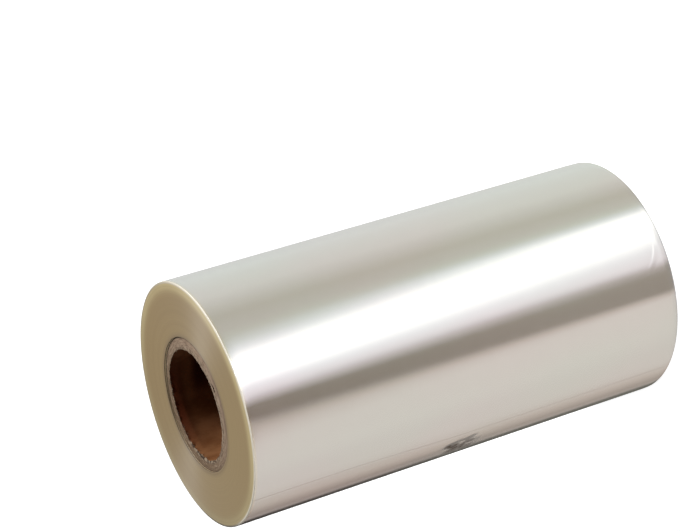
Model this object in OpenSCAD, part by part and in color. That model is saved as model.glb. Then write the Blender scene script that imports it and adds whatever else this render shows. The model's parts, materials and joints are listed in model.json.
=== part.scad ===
// Roll of clear lidding film, wound on a spiral-wound paperboard core.
// The roll stands on one cut end: +Z runs along its axis and Z = 0 is the face that it stands on.
// Angles round the roll are in degrees from +X towards +Y.

/* [Film web] */
// Width of the film, which is the height of the standing roll
web_w = 328; // [200:1:500]
// Thickness of the film
web_t = 0.05; // [0.03:0.005:0.1]
// Metres of film wound on the core
web_length = 310; // [150:10:600]
// Radius of the slit edge round each end of the roll
edge_r = 0.6; // [0.3:0.1:1.5]
// Where round the roll the loose end of the film lies
tail_at = -147; // [-180:1:180]

/* [Pucker in the outer turns] */
// Where round the roll the pucker lies
pucker_at = -157; // [-180:1:180]
// Height of the pucker's middle above the standing face
pucker_z = 167; // [60:1:180]
// Length of the pucker along the roll
pucker_len = 20; // [10:1:40]
// Depth of the pucker
pucker_depth = 0.5; // [0.3:0.1:1]

/* [Core] */
// Bore of the core, made for a 3 inch mandrel
core_bore_d = 76.2; // [70:0.1:80]
// Wall of the core
core_wall = 7.9; // [6:0.1:12]
// How far the core's ends sit below the film's ends
core_recess = 0.8; // [0.2:0.1:3]
// Chamfer that the cutting knife leaves round each edge of the core
core_edge = 0.2; // [0.1:0.1:1]

/* [Loose inner plies at the upper end] */
// Thickness of the plies that have come away from the wall
ply_t = 2.2; // [0.8:0.1:3]
// Widest gap behind the loose plies
ply_gap = 1.2; // [0.4:0.1:1.6]
// Depth of the gap, measured from the core's end
ply_gap_depth = 5; // [2:0.5:12]
// Length of the gap round the core, in degrees
ply_gap_arc = 10; // [8:1:40]
// Where round the core the gap lies
ply_gap_at = -81; // [-180:1:180]

/* [Hidden] */
$fn = 180;
mm_per_m = 1000;
past = 1; // how far a cutter runs past the face that it cuts

core_bore_r = core_bore_d / 2;
core_r = core_bore_r + core_wall;
core_len = web_w - 2 * core_recess;

// The wound film's cross-section is its length times its thickness.
roll_r = sqrt(core_r * core_r + web_length * mm_per_m * web_t / PI);
// The outermost turn closes in by one film thickness, half of it in each half turn.
lap_shift = web_t / 2;

// Sphere that leaves a pucker of the stated length and depth on a straight line along the roll
pucker_r = (pucker_len * pucker_len / 4 + pucker_depth * pucker_depth) / (2 * pucker_depth);

// The gap behind the loose plies is the crescent between their round back and a flatter arc.
gap_inner_r = core_bore_r + ply_t;
gap_half_chord = gap_inner_r * sin(ply_gap_arc / 2);
gap_sagitta = gap_inner_r * (1 - cos(ply_gap_arc / 2)) + ply_gap;
gap_outer_r = (gap_half_chord * gap_half_chord + gap_sagitta * gap_sagitta) / (2 * gap_sagitta);
gap_outer_x = gap_inner_r + ply_gap - gap_outer_r;

// Half of a wound disc as wide as the film, with rounded slit edges
module half_turn(r) {
    rotate_extrude(angle = 180)
        difference() {
            square([r, web_w]);
            for (end = [0, 1])
                translate([r, end * web_w])
                    mirror([0, end])
                        edge_corner();
        }
}

// What the rounded slit edge leaves off a square corner, with the corner at the origin
module edge_corner() {
    translate([-edge_r, 0])
        difference() {
            translate([0, -past])
                square([edge_r + past, edge_r + past]);
            translate([0, edge_r])
                circle(edge_r);
        }
}

// Two half turns, the second closing in on the first, so that the loose end stands one film proud
module wound_film() {
    half_turn(roll_r);
    translate([-lap_shift, 0, 0])
        rotate([0, 0, 180])
            half_turn(roll_r - lap_shift);
}

// The whole wound web, one solid
module film_roll() {
    color([0.80, 0.79, 0.76])
        difference() {
            rotate([0, 0, tail_at])
                wound_film();
            translate([0, 0, -past])
                cylinder(r = core_r, h = web_w + 2 * past);
            rotate([0, 0, pucker_at])
                translate([roll_r - pucker_depth + pucker_r, 0, pucker_z])
                    sphere(pucker_r);
        }
}

// Crescent gap behind the plies that have come away, along +X
module ply_gap_cut() {
    difference() {
        translate([gap_outer_x, 0, 0])
            cylinder(r = gap_outer_r, h = ply_gap_depth + past);
        translate([0, 0, -past])
            cylinder(r = gap_inner_r, h = ply_gap_depth + 3 * past);
    }
}

// Paperboard tube with knife-cut ends
module core() {
    color([0.62, 0.53, 0.44])
        difference() {
            translate([0, 0, core_recess])
                rotate_extrude()
                    polygon([
                        [core_bore_r + core_edge, 0],
                        [core_r - core_edge, 0],
                        [core_r, core_edge],
                        [core_r, core_len - core_edge],
                        [core_r - core_edge, core_len],
                        [core_bore_r + core_edge, core_len],
                        [core_bore_r, core_len - core_edge],
                        [core_bore_r, core_edge],
                    ]);
            translate([0, 0, core_recess + core_len - ply_gap_depth])
                rotate([0, 0, ply_gap_at])
                    ply_gap_cut();
        }
}

film_roll();
core();
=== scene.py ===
"""Looks for a roll of lidding film that stands on its cut end. Lengths are in metres, angles in degrees."""

import json
import math

import bpy
import numpy as np
from mathutils import Euler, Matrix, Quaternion, Vector


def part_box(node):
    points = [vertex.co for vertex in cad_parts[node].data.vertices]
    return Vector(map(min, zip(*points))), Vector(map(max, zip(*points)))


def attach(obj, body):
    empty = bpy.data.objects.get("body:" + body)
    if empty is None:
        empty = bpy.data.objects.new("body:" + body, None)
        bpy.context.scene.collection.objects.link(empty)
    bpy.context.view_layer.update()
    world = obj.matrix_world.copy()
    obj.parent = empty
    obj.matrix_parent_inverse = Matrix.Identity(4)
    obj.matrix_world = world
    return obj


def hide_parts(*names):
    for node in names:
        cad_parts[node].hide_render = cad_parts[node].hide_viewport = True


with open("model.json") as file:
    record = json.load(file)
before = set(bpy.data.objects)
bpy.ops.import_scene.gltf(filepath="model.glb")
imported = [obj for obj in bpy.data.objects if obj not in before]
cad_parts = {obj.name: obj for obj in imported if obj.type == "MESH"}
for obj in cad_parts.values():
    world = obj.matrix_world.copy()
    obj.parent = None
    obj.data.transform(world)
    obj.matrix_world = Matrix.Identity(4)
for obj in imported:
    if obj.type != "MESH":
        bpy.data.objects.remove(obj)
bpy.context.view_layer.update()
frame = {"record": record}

MM = 0.001
rng = np.random.default_rng(7)

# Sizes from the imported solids
FILM_LO, FILM_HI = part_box("film_roll")
CORE_LO, CORE_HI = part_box("core")
ROLL_R = (FILM_HI.x - FILM_LO.x) / 2
CORE_R = (CORE_HI.x - CORE_LO.x) / 2
BORE_R = next(m for m in frame["record"]["mounts"] if m["name"] == "core_bore")["dims"]["r_mm"] * MM
WIDTH = FILM_HI.z

# Camera of the reference view: it looks down on the standing roll, and is turned so that the roll lies
# in the picture
CAMERA_AT = (0.0, -1.4563, 0.8730)
CAMERA_HEADING = 87.600
CAMERA_TILT = -24.843
CAMERA_ROLL = -106.332
LENS_MM = 125.168
SENSOR_MM = 36.0

# Wound film
FILM_T = 0.05 * MM
EDGE_R = 0.6 * MM
INNER_EDGE = 0.3 * MM
UPPER_DROP = 0.10 * MM
LOWER_DROP = 0.17 * MM
END_DROP_LEN = 6 * MM
FILM_RINGS = 56
TAIL_AT = -145.8
TAIL_SKEW = -2.8
TAIL_LIP = 0.35
TAIL_DARK = 0.3
TAIL_FADE_FROM = WIDTH * 0.95
TAIL_FADE_TO = WIDTH * 0.55
# Bearings at which painted light makes the film's and the core's ends lightest, and painted shade darkest
GLOW_AT = -62.0
EDGE_GLOW_AT = -98.0
SHADED_EDGE_AT = 166.0
LIT_FACE_AT = -150.0
WALL_LIT_AT = 30.0
BOARD_LIGHT_AT = -62.0
OVERHANG_SHADE_AT = -98.0

# Pucker in the outer turns: a shallow dimple crossed by folds. A fold runs between two places, each given
# by its height and its arc below the pucker's middle in mm, and has a half width and a depth in mm and a
# darkness, which is partly the film's dullness there and partly painted shade.
PUCKER_AT = -157.0
PUCKER_Z = 167 * MM
PUCKER_R = 10 * MM
PUCKER_DEPTH = 0.3 * MM
PUCKER_FOLDS = (
    ((180, 0.0), (168.5, 3.4), 4.2, 0.22, 1.0),
    ((175, 6.2), (162, 6.4), 4.4, 0.0, 1.0),
    ((165, 3.4), (156, 1.2), 3.0, 0.14, 0.85),
    ((163.5, 1.2), (157, -5.8), 1.8, 0.16, 0.75),
    ((179, -1.4), (158, -5.4), 2.4, 0.10, 0.72),
    ((161, 1.0), (152, 3.5), 4.2, 0.0, 0.45),
    ((178, 11), (154, 10), 5.0, 0.0, 0.8),
    ((212, 8), (146, 9), 8.5, 0.0, 0.12),
)
CRUMPLED_AND_SHADED = "crumpled_and_shaded"
GAP = "gap"

# Crease near the standing end
CREASE_FROM = (-81.0, 7.0 * MM)
CREASE_TO = (-93.0, 18.0 * MM)
CREASE_BOW = 1.8 * MM
CREASE_STEEP = 1.0 * MM
CREASE_GENTLE = 4.0 * MM
CREASE_HEIGHT = 0.068 * MM

# Core: its upper end is cut a little out of square, lowest at CUT_LOW_AT
CUT_LOW_AT = 81.0
CUT_TILT = 0.45 * MM
CUT_FADE = 30 * MM
RAGGED_FROM = 50.0
RAGGED_TO = 165.0
PLY_GAP_AT = -81.0
PLY_GAP_ARC = 10.0
PLY_GAP_R = BORE_R + 2.2 * MM
PLY_GAP_W = 1.2 * MM
PLY_GAP_DEPTH = 5 * MM
CORE_EDGE = 0.2 * MM
# How far the inner rim is pushed outwards at a bearing, in mm
RIM_PUSH = (
    (-170, 0.2),
    (-150, 0.0),
    (-140, -1.0),
    (-125, -0.7),
    (-110, -1.3),
    (-90, -2.1),
    (-70, -1.7),
    (-55, -2.2),
    (-30, -1.3),
    (-10, -0.9),
    (10, 0.3),
    (30, 1.4),
    (50, 3.1),
    (65, 3.0),
    (80, 1.9),
    (100, 2.4),
    (120, 1.8),
    (135, 0.8),
    (150, -0.2),
    (165, 0.4),
)
# Bearings at which the inner rim is most torn and the bore's wall carries the most painted shade
TORN_AT = 140.0
SHADED_AT = 78.0
DEEP_SHADE_AT = 45.0
SHADED_BOARD = (0.110, 0.075, 0.048)
PIT_SHADE = (0.035, 0.02, 0.012)
LIGHT_BURR = (0.31, 0.24, 0.17)
FIBRE_TRIES = 900
CORE_STEPS = 540
SEAM_W = 0.9 * MM
SEAM_DEPTH = 0.18 * MM
SEAM_LEAD = 150 * MM

# Studio that the gloss shows, by compass bearing: softbox, dark gap beside it, table, dark edge, pale wall
STUDIO = (
    (-180, (0.70, 0.655, 0.63)),
    (-165, (0.73, 0.69, 0.66)),
    (-145, (0.72, 0.665, 0.64)),
    (-132, (0.61, 0.535, 0.50)),
    (-123, (0.455, 0.39, 0.35)),
    (-115, (0.182, 0.137, 0.107)),
    (-106, (0.195, 0.152, 0.117)),
    (-97, (0.88, 0.815, 0.88)),
    (-90, (1.05, 1.05, 1.13)),
    (-80, (1.80, 1.80, 1.84)),
    (-71, (1.80, 1.80, 1.82)),
    (-64, (1.50, 1.50, 1.52)),
    (-57, (0.91, 0.965, 1.01)),
    (-50, (0.655, 0.685, 0.67)),
    (-43, (0.535, 0.55, 0.48)),
    (-34, (0.49, 0.47, 0.42)),
    (-18, (0.45, 0.428, 0.365)),
    (10, (0.66, 0.65, 0.62)),
    (48, (0.70, 0.735, 0.72)),
    (74, (0.65, 0.66, 0.65)),
    (86, (0.68, 0.69, 0.69)),
    (91, (0.30, 0.29, 0.28)),
    (95, (0.04, 0.035, 0.03)),
    (113, (0.05, 0.04, 0.035)),
    (119, (0.36, 0.305, 0.285)),
    (128, (0.34, 0.275, 0.245)),
    (143, (0.56, 0.48, 0.435)),
    (158, (0.645, 0.585, 0.55)),
    (165, (0.695, 0.645, 0.615)),
    (180, (0.70, 0.655, 0.63)),
)
# How many degrees each part of the studio leans for a degree of elevation, by compass bearing
LEAN = (
    (-180, 0.0),
    (-155, 0.6),
    (-140, 1.5),
    (-129, 1.3),
    (-123, -0.1),
    (-120, -0.45),
    (-108, 0.0),
    (-97, 0.55),
    (-89, 0.5),
    (-80, 0.9),
    (-60, 1.6),
    (-41, 2.0),
    (-30, 1.1),
    (-17, 0.4),
    (15, 0.0),
    (95, 0.0),
    (112, 0.25),
    (127, 0.1),
    (140, -0.1),
    (157, -0.5),
    (178, 0.0),
)
LEAN_LOW = -1.5
LEAN_HIGH = 2.0
AMBIENT = 0.26
AMBIENT_TILT = (0.35, 0.35, 0.0)
FLOOR_GLOW = 0.80


def smooth(low, high, x):
    """Eased step from 0 at low to 1 at high."""
    t = np.clip((x - low) / (high - low), 0.0, 1.0)
    return t * t * (3 - 2 * t)


def bump(centre, half, x):
    """Rounded hump of height 1 that ends half away from its centre."""
    t = np.clip(1 - np.abs(x - centre) / half, 0.0, 1.0)
    return t * t * (3 - 2 * t)


def turn(degrees):
    """Angle brought into -180 to 180."""
    return (degrees + 180) % 360 - 180


def waves(x, count, shortest, longest):
    """Sum of sines with random wavelengths and phases, of about unit height."""
    total = np.zeros_like(x)
    for length in np.geomspace(shortest, longest, count):
        length = length * rng.uniform(0.85, 1.15)
        total += math.sqrt(length / longest) * np.sin(2 * math.pi * (x / length + rng.random()))
    return total / math.sqrt(count)


def spread(*stretches):
    """Positions along a line from (start, end, step) stretches that follow one another."""
    parts = []
    for start, end, step in stretches:
        parts.append(np.linspace(start, end, max(1, round(abs(end - start) / step)), endpoint=False))
    return np.concatenate(parts)


def grid_mesh(name, points, row_slots, materials):
    """Closed mesh from a grid of points that meets itself both ways round. Each row of faces has its slot."""
    rows, cols = points.shape[:2]
    index = np.arange(rows * cols).reshape(rows, cols)
    below = np.roll(index, -1, axis=0)
    faces = np.stack(
        [index, np.roll(index, -1, axis=1), np.roll(below, -1, axis=1), below], axis=-1
    ).reshape(-1, 4)
    mesh = bpy.data.meshes.new(name)
    mesh.from_pydata(points.reshape(-1, 3).tolist(), [], faces.tolist())
    mesh.polygons.foreach_set("use_smooth", np.ones(len(faces), bool))
    mesh.polygons.foreach_set("material_index", np.repeat(row_slots, cols).astype(np.int32))
    for material in materials:
        mesh.materials.append(material)
    made = bpy.data.objects.new(name, mesh)
    bpy.context.scene.collection.objects.link(made)
    return made


def ring_points(radius, height, bearing):
    """Grid of points from radii, heights and bearings."""
    angle = np.radians(bearing)
    return np.stack([radius * np.cos(angle), radius * np.sin(angle), height + 0 * angle], axis=-1)


def put(tree, kind, values=None, **settings):
    """Adds a node. Each value is a number, a colour or another node's output."""
    made = tree.nodes.new(kind)
    for key, setting in settings.items():
        setattr(made, key, setting)
    for socket, value in (values or {}).items():
        if isinstance(value, bpy.types.NodeSocket):
            tree.links.new(value, made.inputs[socket])
        else:
            made.inputs[socket].default_value = value
    return made


def math_node(tree, operation, first, second=0.0, third=0.0):
    """Output of a Math node."""
    return put(tree, "ShaderNodeMath", {0: first, 1: second, 2: third}, operation=operation).outputs[0]


def ramp_node(tree, factor, stops, interpolation="EASE"):
    """Output of a Color Ramp with (position, colour) stops."""
    made = put(tree, "ShaderNodeValToRGB", {"Fac": factor})
    ramp = made.color_ramp
    ramp.interpolation = interpolation
    while len(ramp.elements) < len(stops):
        ramp.elements.new(0.5)
    for element, (position, colour) in zip(ramp.elements, stops):
        element.position = position
        element.color = (*colour, 1.0)
    return made.outputs["Color"]


def mix_colour(tree, factor, first, second):
    """Output of a Mix node between two colours."""
    made = put(tree, "ShaderNodeMix", data_type="RGBA")
    for socket, value in ((0, factor), (6, first), (7, second)):
        if isinstance(value, bpy.types.NodeSocket):
            tree.links.new(value, made.inputs[socket])
        elif socket == 0:
            made.inputs[socket].default_value = value
        else:
            made.inputs[socket].default_value = (*value, 1.0)
    return made.outputs[2]


def new_material(name):
    """Material with only its shader and output, and the shader's tree."""
    material = bpy.data.materials.new(name)
    material.use_nodes = True
    tree = material.node_tree
    return material, tree, tree.nodes["Principled BSDF"]


def object_place(tree):
    """Outputs of the object's own coordinates: the vector, X, Y and Z."""
    vector = put(tree, "ShaderNodeTexCoord").outputs["Object"]
    parts = put(tree, "ShaderNodeSeparateXYZ", {0: vector})
    return vector, parts.outputs["X"], parts.outputs["Y"], parts.outputs["Z"]


def axis_distance(tree, x, y):
    """Output of the distance from the roll's axis."""
    squares = math_node(tree, "ADD", math_node(tree, "MULTIPLY", x, x), math_node(tree, "MULTIPLY", y, y))
    return math_node(tree, "SQRT", squares)


def stretched(tree, vector, scale):
    """Output of the coordinates scaled by axis."""
    return put(tree, "ShaderNodeVectorMath", {0: vector, 1: scale}, operation="MULTIPLY").outputs[0]


def noise(tree, vector, detail=3.0, roughness=0.55):
    """Output of a noise between 0 and 1."""
    values = {"Vector": vector, "Scale": 1.0, "Detail": detail, "Roughness": roughness}
    return put(tree, "ShaderNodeTexNoise", values).outputs["Fac"]


def noise_on_line(tree, position, scale, detail=3.0, roughness=0.6):
    """Output of a noise that changes with one number only."""
    values = {"W": position, "Scale": scale, "Detail": detail, "Roughness": roughness}
    return put(tree, "ShaderNodeTexNoise", values, noise_dimensions="1D").outputs["Fac"]


def between(tree, value, low, high, to_low=0.0, to_high=1.0):
    """Output of a clamped, eased change from to_low to to_high."""
    values = {"Value": value, "From Min": low, "From Max": high, "To Min": to_low, "To Max": to_high}
    return put(tree, "ShaderNodeMapRange", values, interpolation_type="SMOOTHSTEP").outputs["Result"]


def film_side_material():
    """Clear glossy film, silvery because many turns reflect at once, and darker and duller in the pucker's
    folds and along the loose end; in the folds the dark colour is partly painted shade.
    """
    material, tree, shader = new_material("film side")
    vector, _, _, z = object_place(tree)
    bands = noise_on_line(tree, z, 90.0, detail=3.0)
    haze = noise(tree, stretched(tree, vector, (9.0, 9.0, 60.0)), detail=2.0)
    roughness = between(tree, math_node(tree, "MULTIPLY", bands, haze), 0.1, 0.45, 0.09, 0.12)
    tint = noise(tree, stretched(tree, vector, (14.0, 14.0, 8.0)), detail=1.0)
    colour = mix_colour(tree, between(tree, tint, 0.35, 0.65), (0.80, 0.765, 0.735), (0.785, 0.78, 0.735))
    to_top = math_node(tree, "SUBTRACT", WIDTH, z)
    colour = mix_colour(tree, between(tree, to_top, 0.3 * MM, 3.0 * MM, 1.0, 0.0), colour, (0.84, 0.79, 0.68))
    colour = mix_colour(tree, between(tree, to_top, 0.2 * MM, 0.7 * MM, 1.0, 0.0), colour, (0.72, 0.62, 0.44))
    crumpled_and_shaded = put(tree, "ShaderNodeAttribute", attribute_name=CRUMPLED_AND_SHADED).outputs["Fac"]
    wrinkles = noise(tree, stretched(tree, vector, (500.0, 500.0, 260.0)))
    wrinkles = between(tree, wrinkles, 0.3, 0.65, 0.75, 1.05)
    crumpled_and_shaded = math_node(tree, "MULTIPLY", crumpled_and_shaded, wrinkles)
    # Painted shade in the pucker's folds, over the duller film there
    colour = mix_colour(tree, crumpled_and_shaded, colour, (0.068, 0.044, 0.028))
    roughness = math_node(tree, "MULTIPLY_ADD", crumpled_and_shaded, 0.3, roughness)
    tree.links.new(colour, shader.inputs["Base Color"])
    tree.links.new(roughness, shader.inputs["Roughness"])
    tree.links.new(math_node(tree, "MULTIPLY_ADD", crumpled_and_shaded, -0.8, 0.9), shader.inputs["Metallic"])
    tree.links.new(math_node(tree, "MULTIPLY_ADD", crumpled_and_shaded, -0.3, 0.3), shader.inputs["Coat Weight"])
    shader.inputs["Specular IOR Level"].default_value = 0.2
    shader.inputs["IOR"].default_value = 1.5
    shader.inputs["Coat Roughness"].default_value = 0.04
    relief = put(tree, "ShaderNodeBump", {"Strength": 0.15, "Distance": 0.02 * MM, "Height": bands})
    tree.links.new(relief.outputs["Normal"], shader.inputs["Normal"])
    return material


def towards(tree, x, y, bearing):
    """Output from -1 to 1 of how far round towards a bearing a place lies."""
    east = math_node(tree, "MULTIPLY", x, math.cos(math.radians(bearing)))
    both = math_node(tree, "MULTIPLY_ADD", y, math.sin(math.radians(bearing)), east)
    return math_node(tree, "DIVIDE", both, axis_distance(tree, x, y))


def film_end_material():
    """Slit edges of the turns: khaki, with fine rings, a golden rim and a cream outer edge; painted light
    makes the face, the rim, the outer edge and the inner wall lighter on one side, and painted shade darkens
    the outer edge on the low side.
    """
    material, tree, shader = new_material("film end")
    vector, x, y, z = object_place(tree)
    radius = axis_distance(tree, x, y)
    share = math_node(tree, "DIVIDE", radius, ROLL_R)
    lit = between(tree, towards(tree, x, y, GLOW_AT), -0.95, 0.95)
    rings = noise_on_line(tree, radius, 900.0, detail=6.0, roughness=0.75)
    wide_rings = noise_on_line(tree, radius, 130.0, detail=2.0)
    patches = noise(tree, stretched(tree, vector, (22.0, 22.0, 22.0)), detail=2.0)
    base = mix_colour(tree, patches, (0.291, 0.209, 0.108), (0.310, 0.223, 0.115))
    base = mix_colour(tree, between(tree, wide_rings, 0.35, 0.7, 0.0, 0.5), base, (0.326, 0.238, 0.123))
    # Painted light: the end face is lighter towards one bearing
    base = mix_colour(tree, between(tree, towards(tree, x, y, LIT_FACE_AT), 0.0, 1.0), base, (0.34, 0.25, 0.132))
    base = mix_colour(tree, between(tree, share, 0.60, 0.556), base, (0.262, 0.190, 0.107))
    # Painted light: the golden rim is lighter on its lit side
    glow = mix_colour(tree, lit, (0.370, 0.300, 0.168), (0.555, 0.455, 0.245))
    # Painted highlight on the cream outer edge, brightest towards one bearing
    edge_lit = between(tree, towards(tree, x, y, EDGE_GLOW_AT), -0.5, 0.6)
    edge = mix_colour(tree, edge_lit, (0.36, 0.31, 0.235), (0.76, 0.71, 0.60))
    glow_share = between(tree, patches, 0.3, 0.65, 0.7, 1.0)
    glow_share = math_node(tree, "MULTIPLY", between(tree, share, 0.88, 0.972), glow_share)
    base = mix_colour(tree, glow_share, base, glow)
    # Painted shade: the outer edge darkens on the low side
    low = between(tree, towards(tree, x, y, SHADED_EDGE_AT), 0.88, 0.98, 0.0, 0.85)
    edge = mix_colour(tree, low, edge, (0.05, 0.04, 0.032))
    base = mix_colour(tree, between(tree, share, 0.974, 0.992), base, edge)
    base = mix_colour(tree, between(tree, rings, 0.35, 0.75, 0.0, 0.2), base, (0.20, 0.150, 0.080))
    inner_edge = between(tree, radius, CORE_R + 0.45 * MM, CORE_R + 0.1 * MM)
    base = mix_colour(tree, inner_edge, base, (0.105, 0.075, 0.043))
    to_end = math_node(tree, "MINIMUM", z, math_node(tree, "SUBTRACT", WIDTH, z))
    inside = between(tree, to_end, 0.3 * MM, 0.5 * MM)
    wall = math_node(tree, "MULTIPLY", between(tree, share, 0.7, 0.6), inside)
    # Painted light: the film's inner wall is lighter on its lit side
    wall_lit = between(tree, towards(tree, x, y, WALL_LIT_AT), 0.6, 1.0)
    wall_colour = mix_colour(tree, wall_lit, (0.29, 0.21, 0.118), (1.0, 0.82, 0.52))
    base = mix_colour(tree, wall, base, wall_colour)
    tree.links.new(base, shader.inputs["Base Color"])
    shader.inputs["Roughness"].default_value = 0.72
    shader.inputs["Anisotropic"].default_value = 0.8
    shader.inputs["Anisotropic Rotation"].default_value = 0.25
    shader.inputs["IOR"].default_value = 1.5
    shader.inputs["Specular IOR Level"].default_value = 0.75
    height = math_node(tree, "ADD", rings, wide_rings)
    relief = put(tree, "ShaderNodeBump", {"Strength": 0.2, "Distance": 0.03 * MM, "Height": height})
    tree.links.new(relief.outputs["Normal"], shader.inputs["Normal"])
    return material


def round_places(tree, x, y, across, along):
    """Output of coordinates that run across and along the plies, scaled."""
    radius = axis_distance(tree, x, y)
    angle = math_node(tree, "ARCTAN2", x, math_node(tree, "MULTIPLY", y, -1.0))
    outwards = math_node(tree, "MULTIPLY", radius, across)
    onwards = math_node(tree, "MULTIPLY", angle, along * BORE_R)
    return put(tree, "ShaderNodeCombineXYZ", {"X": outwards, "Y": onwards}).outputs[0]


def board_end_material():
    """Cut end of the paperboard plies, pinkish grey and fibrous, torn at the inner rim, with painted light on
    one side and painted shade near the outer edge, in the pits of the torn rim and in the loose ply's gap.
    """
    material, tree, shader = new_material("board end")
    vector, x, y, _ = object_place(tree)
    radius = axis_distance(tree, x, y)
    fibres = noise(tree, stretched(tree, vector, (1000.0, 1000.0, 1000.0)), detail=5.0, roughness=0.7)
    plies = noise(tree, round_places(tree, x, y, 900.0, 160.0), detail=4.0, roughness=0.65)
    patches = noise(tree, stretched(tree, vector, (60.0, 60.0, 60.0)), detail=2.0)
    # Painted light: lit and shaded copies of the board's colour, lighter towards one bearing
    light = between(tree, towards(tree, x, y, BOARD_LIGHT_AT), -1.0, 1.0)
    base = mix_colour(tree, patches, (0.140, 0.092, 0.053), (0.190, 0.124, 0.075))
    lit = mix_colour(tree, patches, (0.260, 0.180, 0.124), (0.345, 0.250, 0.176))
    base = mix_colour(tree, light, base, lit)
    base = mix_colour(tree, between(tree, plies, 0.50, 0.64, 0.0, 0.7), base, (0.115, 0.075, 0.048))
    base = mix_colour(tree, between(tree, plies, 0.46, 0.36, 0.0, 0.6), base, (0.42, 0.32, 0.235))
    base = mix_colour(tree, between(tree, fibres, 0.52, 0.70, 0.0, 0.4), base, (0.42, 0.32, 0.23))
    outer_shade = between(tree, radius, CORE_R - 2.0 * MM, CORE_R - 0.2 * MM, 0.0, 0.6)
    base = mix_colour(tree, outer_shade, base, SHADED_BOARD)
    # Painted shade next to the film on one side of the board's end
    overhang_shade = between(tree, radius, CORE_R - 4.2 * MM, CORE_R - 2.4 * MM, 0.0, 0.42)
    facing = between(tree, towards(tree, x, y, OVERHANG_SHADE_AT), 0.80, 0.98)
    overhang_shade = math_node(tree, "MULTIPLY", overhang_shade, facing)
    base = mix_colour(tree, overhang_shade, base, SHADED_BOARD)
    # Torn rim: light burrs mixed with painted shade in the pits between them
    spots = noise(tree, stretched(tree, vector, (400.0, 400.0, 400.0)), detail=1.0)
    torn = mix_colour(tree, between(tree, spots, 0.46, 0.54), PIT_SHADE, LIGHT_BURR)
    rim = between(tree, radius, BORE_R + 3.4 * MM, BORE_R + 1.2 * MM)
    worst = between(tree, towards(tree, x, y, TORN_AT), 0.6, 0.95, 0.35, 0.95)
    base = mix_colour(tree, math_node(tree, "MULTIPLY", rim, worst), base, torn)
    # Painted shade inside the loose ply's gap
    gap = put(tree, "ShaderNodeAttribute", attribute_name=GAP).outputs["Fac"]
    base = mix_colour(tree, between(tree, gap, 0.0, 0.05), base, (0.03, 0.015, 0.008))
    tree.links.new(base, shader.inputs["Base Color"])
    shader.inputs["Roughness"].default_value = 0.9
    shader.inputs["Specular IOR Level"].default_value = 0.25
    height = math_node(tree, "ADD", fibres, math_node(tree, "MULTIPLY", plies, 0.8))
    relief = put(tree, "ShaderNodeBump", {"Strength": 0.7, "Distance": 0.25 * MM, "Height": height})
    tree.links.new(relief.outputs["Normal"], shader.inputs["Normal"])
    return material


def board_wall_material():
    """Inner wall of the core: brown kraft paper with a darker line where the ply's edges meet, and painted
    shade on one side near the rim and deeper down.
    """
    material, tree, shader = new_material("board wall")
    vector, x, y, z = object_place(tree)
    turns = math_node(tree, "DIVIDE", math_node(tree, "ARCTAN2", y, x), 2 * math.pi)
    climb = math_node(tree, "SUBTRACT", math_node(tree, "DIVIDE", z, SEAM_LEAD), turns)
    seam = math_node(tree, "ABSOLUTE", math_node(tree, "SUBTRACT", math_node(tree, "FRACT", climb), 0.5))
    fibres = noise(tree, stretched(tree, vector, (420.0, 420.0, 240.0)), detail=6.0, roughness=0.7)
    patches = between(tree, noise(tree, stretched(tree, vector, (90.0, 90.0, 50.0)), detail=3.0), 0.35, 0.65)
    base = mix_colour(tree, patches, (0.165, 0.064, 0.023), (0.243, 0.107, 0.044))
    base = mix_colour(tree, between(tree, fibres, 0.45, 0.8, 0.0, 0.4), base, (0.28, 0.145, 0.066))
    # Painted shade on one side of the bore's wall near the rim
    shade = between(tree, towards(tree, x, y, SHADED_AT), 0.3, 1.0, 0.0, 0.9)
    shade = math_node(tree, "MULTIPLY", shade, between(tree, z, WIDTH - 13 * MM, WIDTH - 4 * MM, 0.45, 1.0))
    base = mix_colour(tree, shade, base, (0.05, 0.006, 0.001))
    # Painted shade deeper in the bore on one side
    deep = between(tree, z, WIDTH - 20 * MM, WIDTH - 13 * MM, 0.85, 0.0)
    deep = math_node(tree, "MULTIPLY", deep, between(tree, towards(tree, x, y, DEEP_SHADE_AT), 0.75, 0.97))
    base = mix_colour(tree, deep, base, (0.02, 0.001, 0.001))
    line = between(tree, seam, 0.5 * SEAM_W / SEAM_LEAD, SEAM_W / SEAM_LEAD, 0.7, 0.0)
    base = mix_colour(tree, line, base, (0.06, 0.025, 0.012))
    tree.links.new(base, shader.inputs["Base Color"])
    shader.inputs["Roughness"].default_value = 0.8
    shader.inputs["Specular IOR Level"].default_value = 0.06
    relief = put(tree, "ShaderNodeBump", {"Strength": 0.5, "Distance": 0.15 * MM, "Height": fibres})
    tree.links.new(relief.outputs["Normal"], shader.inputs["Normal"])
    return material


def fibre_material():
    """Torn paper fibres at the core's inner rim."""
    material, tree, shader = new_material("torn fibre")
    vector = object_place(tree)[0]
    fleck = noise(tree, stretched(tree, vector, (700.0, 700.0, 700.0)), detail=2.0)
    base = mix_colour(tree, between(tree, fleck, 0.4, 0.6), (0.045, 0.027, 0.016), (0.20, 0.145, 0.10))
    tree.links.new(base, shader.inputs["Base Color"])
    shader.inputs["Roughness"].default_value = 0.85
    return material


def past_tail(bearing, height):
    """Degrees past the loose end, which runs a little aslant below the upper quarter."""
    return (bearing - TAIL_AT - TAIL_SKEW * smooth(0.8 * WIDTH, 0.5 * WIDTH, height)) % 360


def tail_offset(bearing, height):
    """How far the outside has closed in since the loose end, with the loose end's own step."""
    past = past_tail(bearing, height)
    lip = TAIL_LIP + 6.0 * smooth(TAIL_FADE_FROM, TAIL_FADE_TO, height)
    before_end = np.minimum(360 - past, 360)
    return -FILM_T * (past / 360) * smooth(0.0, 1.0, before_end / lip)


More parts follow.
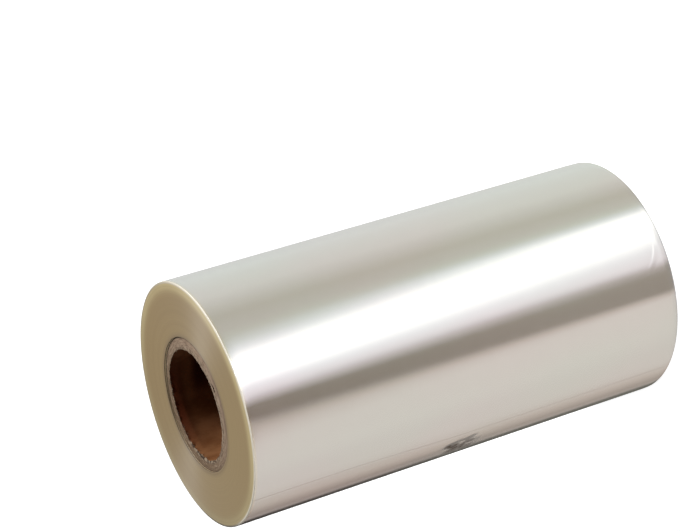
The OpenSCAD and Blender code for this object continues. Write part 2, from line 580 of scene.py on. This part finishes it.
def tail_line(bearing, height):
    """Dark line where the slit edge of the loose end shows."""
    away = turn(past_tail(bearing, height))
    return TAIL_DARK * bump(0, TAIL_LIP, away) * (1 - 0.5 * smooth(0.8 * WIDTH, 0.3 * WIDTH, height))


def pucker_folds(bearing, height):
    """Depth of the pucker's folds, which slope away below their lines, and how dark and dull the film is
    there, partly from its crumpling and partly painted shade.
    """
    arc = np.radians(turn(PUCKER_AT - bearing)) * ROLL_R
    depth = np.zeros_like(height)
    crumpled_and_shaded = np.zeros_like(height)
    for start, end, half, deep, dark in PUCKER_FOLDS:
        z0, arc0, z1, arc1, half = (value * MM for value in (*start, *end, half))
        length = math.hypot(z1 - z0, arc1 - arc0)
        along = ((height - z0) * (z1 - z0) + (arc - arc0) * (arc1 - arc0)) / length
        beside = ((height - z0) * (arc1 - arc0) - (arc - arc0) * (z1 - z0)) / length
        beside = beside + 0.5 * MM * np.sin(along / (3.1 * MM)) + 0.25 * MM * np.sin(along / (1.3 * MM))
        taper = smooth(-0.2 * length, 0.15 * length, along) * (1 - smooth(0.85 * length, 1.2 * length, along))
        lap = smooth(-half, 0.5 * half, beside) * (1 - smooth(0.5 * half, 1.3 * half, beside))
        depth += deep * MM * taper * lap
        crumpled_and_shaded = np.maximum(crumpled_and_shaded, dark * taper * (1 - smooth(0.4 * half, 1.3 * half, np.abs(beside))))
    return depth, crumpled_and_shaded


def pucker_offset(bearing, height):
    """Shallow dimple with its folds."""
    arc = np.radians(turn(bearing - PUCKER_AT)) * ROLL_R
    dimple = PUCKER_DEPTH * bump(0, PUCKER_R, np.hypot(arc, height - PUCKER_Z))
    return -dimple - pucker_folds(bearing, height)[0]


def crease_offset(bearing, height):
    """Raised crease that leans and bows across the roll, steep on its upper side."""
    arc = np.radians(turn(bearing - CREASE_FROM[0])) * ROLL_R
    end_arc = math.radians(CREASE_TO[0] - CREASE_FROM[0]) * ROLL_R
    rise = CREASE_TO[1] - CREASE_FROM[1]
    length = math.hypot(end_arc, rise)
    along = (arc * end_arc + (height - CREASE_FROM[1]) * rise) / length
    beside = ((height - CREASE_FROM[1]) * end_arc - arc * rise) / length
    beside = beside - CREASE_BOW * np.sin(math.pi * np.clip(along / length, 0, 1))
    ridge = np.where(beside < 0, bump(0, CREASE_STEEP, beside), bump(0, CREASE_GENTLE, beside))
    hollow = bump(0, 2 * CREASE_GENTLE, beside) * 0.5
    return CREASE_HEIGHT * (ridge - hollow) * bump(length / 2, length * 0.56, along)


def film_bearings():
    """Bearings round the roll, close together at the pucker, the loose end and the crease."""
    return spread(
        (-180, -172, 1.0),
        (-172, -149.5, 0.25),
        (-149.5, -145, 0.1),
        (-145, -98, 2.0),
        (-98, -78, 0.5),
        (-78, 180, 2.0),
    )


def film_side_heights():
    """Heights up the film's side, close together at the crease and the pucker."""
    top = WIDTH - EDGE_R
    return spread(
        (EDGE_R, 4 * MM, 1.0 * MM),
        (4 * MM, 18 * MM, 0.4 * MM),
        (18 * MM, 148 * MM, 3.5 * MM),
        (148 * MM, 182 * MM, 0.5 * MM),
        (182 * MM, top - 3 * MM, 3.5 * MM),
        (top - 3 * MM, top + 0.2 * MM, 1.0 * MM),
    )


def build_film(side, end):
    """The wound web as one closed mesh: side, rounded edges, ringed ends and inner wall."""
    corner = np.radians(np.linspace(0, 90, 7))
    flat_from = ROLL_R - EDGE_R
    flat_to = CORE_R + INNER_EDGE
    heights = film_side_heights()
    rings = np.linspace(flat_from - 0.15 * MM, flat_to, FILM_RINGS)
    turns = waves(rings, 9, 1.2 * MM, 18 * MM)
    relief = (turns - turns.max()) * 0.012 * MM
    relief[0] = 0
    side_r = np.full(len(heights), ROLL_R)
    top_r = flat_from + EDGE_R * np.cos(corner)
    top_z = WIDTH - EDGE_R + EDGE_R * np.sin(corner)
    wall_r = np.array([CORE_R, CORE_R, CORE_R, CORE_R])
    wall_z = np.array([WIDTH - INNER_EDGE, WIDTH - 4 * MM, 4 * MM, INNER_EDGE])
    radii = np.concatenate([side_r, top_r, rings, wall_r, rings[::-3], top_r[::-1][:-1]])
    levels = np.concatenate(
        [heights, top_z, WIDTH + relief, wall_z, -relief[::-3], WIDTH - top_z[::-1][:-1]]
    )
    slots = np.ones(len(radii), int)
    slots[: len(heights)] = 0
    slots[-len(corner) :] = 0
    bearing, radius = np.meshgrid(film_bearings(), radii)
    height = np.broadcast_to(levels[:, None], radius.shape).copy()
    outer = smooth(flat_from - 8 * MM, flat_from, radius)
    to_end = np.minimum(height, WIDTH - height)
    mid = smooth(0, 3 * MM, to_end)
    gauge = waves(levels, 8, 9 * MM, 120 * MM)[:, None] * 0.006 * MM
    offset = tail_offset(bearing, height)
    offset += mid * (pucker_offset(bearing, height) + crease_offset(bearing, height) + gauge - 0.02 * MM)
    offset -= LOWER_DROP * (1 - smooth(0, END_DROP_LEN, height)) ** 2
    offset -= UPPER_DROP * (1 - smooth(0, END_DROP_LEN, WIDTH - height)) ** 2
    points = ring_points(radius + outer * offset, height, bearing)
    made = grid_mesh("film_web", points, slots, [side, end])
    crumpled_and_shaded = made.data.attributes.new(CRUMPLED_AND_SHADED, "FLOAT", "POINT")
    darkness = np.maximum(pucker_folds(bearing, height)[1], tail_line(bearing, height))
    crumpled_and_shaded.data.foreach_set("value", (mid * outer * darkness).ravel())
    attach(made, "root")
    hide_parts("film_roll")
    return made


def core_bearings():
    """Bearings round the core."""
    return np.linspace(-180, 180, CORE_STEPS, endpoint=False)


def ragged(bearing):
    """How torn the inner rim is, from a little all round to 1 on the worst stretch."""
    middle = (RAGGED_FROM + RAGGED_TO) / 2
    half = (RAGGED_TO - RAGGED_FROM) / 2
    return 0.22 + 0.78 * (1 - smooth(half * 0.75, half * 1.2, np.abs(turn(bearing - middle))))


def rim_push(bearing):
    """How far the inner rim is pushed outwards."""
    at, push = np.array(RIM_PUSH).T
    return np.interp(bearing, at, push * MM, period=360)


def ply_gap(bearing, radius):
    """1 inside the gap behind the loose inner ply, 0 outside it."""
    away = turn(bearing - PLY_GAP_AT) / (PLY_GAP_ARC / 2)
    width = PLY_GAP_W * np.clip(1 - away * away, 0, 1)
    inside = np.minimum(radius - PLY_GAP_R, PLY_GAP_R + width - radius)
    return smooth(-0.02 * MM, 0.08 * MM, inside)


def build_core(end, wall):
    """The paperboard tube as one closed mesh: ragged rim, ply rings, loose ply and spiral seam."""
    inner_heights = spread(
        (CORE_LO.z + CORE_EDGE, CORE_HI.z - 60 * MM, 8 * MM),
        (CORE_HI.z - 60 * MM, CORE_HI.z - 3 * MM, 1.2 * MM),
        (CORE_HI.z - 3 * MM, CORE_HI.z - CORE_EDGE, 0.35 * MM),
    )
    cut_radii = np.linspace(BORE_R + CORE_EDGE, CORE_R - CORE_EDGE, 50)
    top = CORE_HI.z
    low = CORE_LO.z
    radii = np.concatenate(
        [np.full(len(inner_heights) + 1, BORE_R), cut_radii, [CORE_R, CORE_R], cut_radii[::-5]]
    )
    levels = np.concatenate(
        [
            inner_heights,
            [top - CORE_EDGE],
            np.full(len(cut_radii), top),
            [top - CORE_EDGE, low + CORE_EDGE],
            np.full(len(cut_radii[::-5]), low),
        ]
    )
    wall_rows = len(inner_heights)
    slots = np.zeros(len(radii), int)
    slots[:wall_rows] = 1
    bearing, radius = np.meshgrid(core_bearings(), radii)
    height = np.broadcast_to(levels[:, None], radius.shape).copy()
    torn = ragged(bearing)
    flat = np.radians(core_bearings())[None, :] * BORE_R
    near_bore = 1 - smooth(BORE_R, BORE_R + 2.2 * MM, radius)
    near_top = smooth(top - 2.5 * MM, top, height)
    chips = waves(flat + 0 * radius, 12, 1.1 * MM, 14 * MM)
    bites = np.clip(waves(flat + 0 * radius, 9, 1.6 * MM, 22 * MM), 0, 2)
    nicks = waves(flat + 0 * radius, 8, 2.5 * MM, 12 * MM)
    push = rim_push(bearing) * (1 - smooth(BORE_R, CORE_R - 2 * MM, radius))
    push = push * smooth(top - 6 * MM, top, height)
    cut = -CUT_TILT * np.cos(np.radians(bearing - CUT_LOW_AT)) * smooth(top - CUT_FADE, top, height)
    height -= near_top * near_bore * torn * (0.10 * MM * (chips + 1.2) + 0.12 * MM * bites)
    radius += push - near_top * near_bore * MM * (0.3 * torn * chips + (0.18 + 0.35 * torn) * nicks)
    grain = waves(radius[:, 0], 8, 0.5 * MM, 3 * MM)[:, None]
    on_end = smooth(top - 0.2 * MM, top - 0.05 * MM, levels)[:, None]
    height -= on_end * 0.05 * MM * (grain + 1)
    gap = (levels[:, None] >= top - 1e-6) * ply_gap(bearing, radius - push)
    height -= PLY_GAP_DEPTH * gap
    height += cut
    climb = (height / SEAM_LEAD - bearing / 360) % 1
    seam = bump(0.5, SEAM_W / SEAM_LEAD, climb)
    on_wall = (levels[:, None] < top - 2 * CORE_EDGE) * (radius < BORE_R + 2 * MM) * (1 - near_top)
    radius += on_wall * SEAM_DEPTH * seam
    points = ring_points(radius, height, bearing)
    made = grid_mesh("core_tube", points, slots, [end, wall])
    made.data.attributes.new(GAP, "FLOAT", "POINT").data.foreach_set("value", gap.ravel())
    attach(made, "root")
    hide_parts("core")
    return made


def build_fibres(material):
    """Small torn flakes that hang off the core's inner rim, thickest where the rim is most ragged."""
    points = []
    faces = []
    for _ in range(FIBRE_TRIES):
        bearing = rng.uniform(-180, 180)
        if rng.random() > ragged(np.array(bearing)) ** 1.2:
            continue
        start = len(points)
        length = rng.uniform(0.35, 1.1) * MM
        width = rng.uniform(0.25, 0.7) * MM
        lean = rng.uniform(-0.9, 0.9)
        rise = rng.uniform(-0.9, 0.35)
        curl = rng.uniform(-0.5, 0.5)
        root_r = BORE_R + rim_push(bearing) + rng.uniform(0.0, 1.6) * MM
        root_z = CORE_HI.z - rng.uniform(0.1, 0.6) * MM
        root_z -= CUT_TILT * math.cos(math.radians(bearing - CUT_LOW_AT))
        steps = 4
        for step in range(steps + 1):
            t = step / steps
            reach = t * length
            r = root_r - reach * math.cos(rise)
            z = min(root_z + reach * math.sin(rise) + curl * reach * t, CORE_HI.z + 0.5 * MM)
            swing = lean * reach
            half = width * (1 - t) / 2 + 0.02 * MM
            for side, lift in ((-half, 0.0), (half, 0.0), (0.0, 0.12 * MM * (1 - t) + 0.02 * MM)):
                angle = math.radians(bearing) + (swing + side) / BORE_R
                points.append((r * math.cos(angle), r * math.sin(angle), z - lift))
        for step in range(steps):
            a = start + step * 3
            for k in range(3):
                faces.append((a + k, a + (k + 1) % 3, a + 3 + (k + 1) % 3, a + 3 + k))
        faces.append((start, start + 2, start + 1))
        last = start + steps * 3
        faces.append((last, last + 1, last + 2))
    mesh = bpy.data.meshes.new("core_rim_fibres")
    mesh.from_pydata(points, [], faces)
    mesh.materials.append(material)
    made = bpy.data.objects.new("core_rim_fibres", mesh)
    bpy.context.scene.collection.objects.link(made)
    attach(made, "root")
    return made


def build_camera():
    """Camera at the reference view."""
    data = bpy.data.cameras.new("camera")
    data.lens = LENS_MM
    data.sensor_width = SENSOR_MM
    data.clip_start = 0.01
    data.clip_end = 100
    made = bpy.data.objects.new("camera", data)
    made.location = CAMERA_AT
    upright = Euler((math.radians(90 + CAMERA_TILT), 0, math.radians(CAMERA_HEADING - 90))).to_quaternion()
    made.rotation_mode = "QUATERNION"
    made.rotation_quaternion = upright @ Quaternion((0, 0, 1), math.radians(CAMERA_ROLL))
    bpy.context.scene.collection.objects.link(made)
    bpy.context.scene.camera = made


def build_world():
    """White to the camera, the studio to glossy rays and a plain level to the rest."""
    world = bpy.data.worlds.new("studio")
    bpy.context.scene.world = world
    world.use_nodes = True
    tree = world.node_tree
    tree.nodes.clear()
    direction = put(tree, "ShaderNodeTexCoord").outputs["Generated"]
    parts = put(tree, "ShaderNodeSeparateXYZ", {0: direction})
    x, y, z = (parts.outputs[k] for k in "XYZ")
    bearing = math_node(tree, "DEGREES", math_node(tree, "ARCTAN2", y, x))
    elevation = math_node(tree, "DEGREES", math_node(tree, "ARCSINE", z))
    place = math_node(tree, "DIVIDE", math_node(tree, "ADD", bearing, 180.0), 360.0)
    lean_stops = [((at + 180) / 360, ((lean - LEAN_LOW) / (LEAN_HIGH - LEAN_LOW),) * 3) for at, lean in LEAN]
    lean_share = ramp_node(tree, place, lean_stops, "LINEAR")
    lean = math_node(tree, "MULTIPLY_ADD", lean_share, LEAN_HIGH - LEAN_LOW, LEAN_LOW)
    drop = math_node(tree, "ADD", elevation, 20.0)
    drop = put(tree, "ShaderNodeClamp", {0: drop, 1: -16.0, 2: 8.0}).outputs[0]
    leaning = math_node(tree, "DIVIDE", math_node(tree, "MULTIPLY", lean, drop), 360.0)
    stops = [((at + 180) / 360, colour) for at, colour in STUDIO]
    studio = ramp_node(tree, math_node(tree, "ADD", place, leaning), stops, "LINEAR")
    studio = mix_colour(tree, between(tree, elevation, -5.0, 20.0), studio, (0.30, 0.30, 0.30))
    studio = mix_colour(tree, between(tree, elevation, -20.0, -32.0, 0.0, 0.12), studio, (0.87, 0.92, 0.77))
    studio = mix_colour(tree, between(tree, elevation, -33.0, -48.0, 0.0, 0.8), studio, (0.36, 0.38, 0.41))
    lights = put(tree, "ShaderNodeLightPath").outputs
    shown = math_node(tree, "MAXIMUM", lights["Is Camera Ray"], lights["Is Transmission Ray"])
    tilt = put(tree, "ShaderNodeVectorMath", {0: direction, 1: AMBIENT_TILT}, operation="DOT_PRODUCT")
    ambient = math_node(tree, "MULTIPLY_ADD", tilt.outputs["Value"], AMBIENT, AMBIENT)
    colour = mix_colour(tree, lights["Is Glossy Ray"], ambient, studio)
    colour = mix_colour(tree, shown, colour, (1.0, 1.0, 1.0))
    background = put(tree, "ShaderNodeBackground", {"Color": colour, "Strength": 1.0})
    output = put(tree, "ShaderNodeOutputWorld")
    tree.links.new(background.outputs[0], output.inputs["Surface"])


def build_floor():
    """Pale floor that shows white but for the roll's own shadow."""
    bpy.ops.mesh.primitive_plane_add(size=40)
    floor = bpy.context.object
    floor.name = "floor"
    material, tree, shader = new_material("floor")
    shader.inputs["Base Color"].default_value = (0.8, 0.8, 0.8, 1)
    shader.inputs["Roughness"].default_value = 0.9
    shader.inputs["Specular IOR Level"].default_value = 0.0
    lights = put(tree, "ShaderNodeLightPath").outputs
    shown = math_node(tree, "MAXIMUM", lights["Is Camera Ray"], lights["Is Transmission Ray"])
    shown = math_node(tree, "MAXIMUM", shown, lights["Is Glossy Ray"])
    glow = put(tree, "ShaderNodeEmission", {"Strength": math_node(tree, "MULTIPLY", shown, FLOOR_GLOW)})
    both = put(tree, "ShaderNodeAddShader", {0: shader.outputs[0], 1: glow.outputs[0]})
    tree.links.new(both.outputs[0], tree.nodes["Material Output"].inputs["Surface"])
    floor.data.materials.append(material)
    floor.visible_glossy = False


def add_softbox(name, at, size, power, in_gloss=True):
    """Square soft lamp that points at the roll's upper end, seen in glossy faces or not."""
    data = bpy.data.lights.new(name, "AREA")
    data.size = size
    data.energy = power
    made = bpy.data.objects.new(name, data)
    made.location = at
    made.visible_glossy = in_gloss
    aim = Vector((0, 0, WIDTH)) - Vector(at)
    made.rotation_mode = "QUATERNION"
    made.rotation_quaternion = aim.to_track_quat("-Z", "Y")
    bpy.context.scene.collection.objects.link(made)


bpy.context.scene.view_settings.view_transform = "Standard"
build_camera()
build_world()
build_floor()
add_softbox("key", (1.093, 0.096, 1.351), 0.45, 23.0)
add_softbox("side", (0.51, -1.40, 0.17), 0.28, 13.0)
add_softbox("fill", (-1.05, -1.00, 0.20), 0.35, 5.0, in_gloss=False)
build_film(film_side_material(), film_end_material())
build_core(board_end_material(), board_wall_material())
build_fibres(fibre_material())
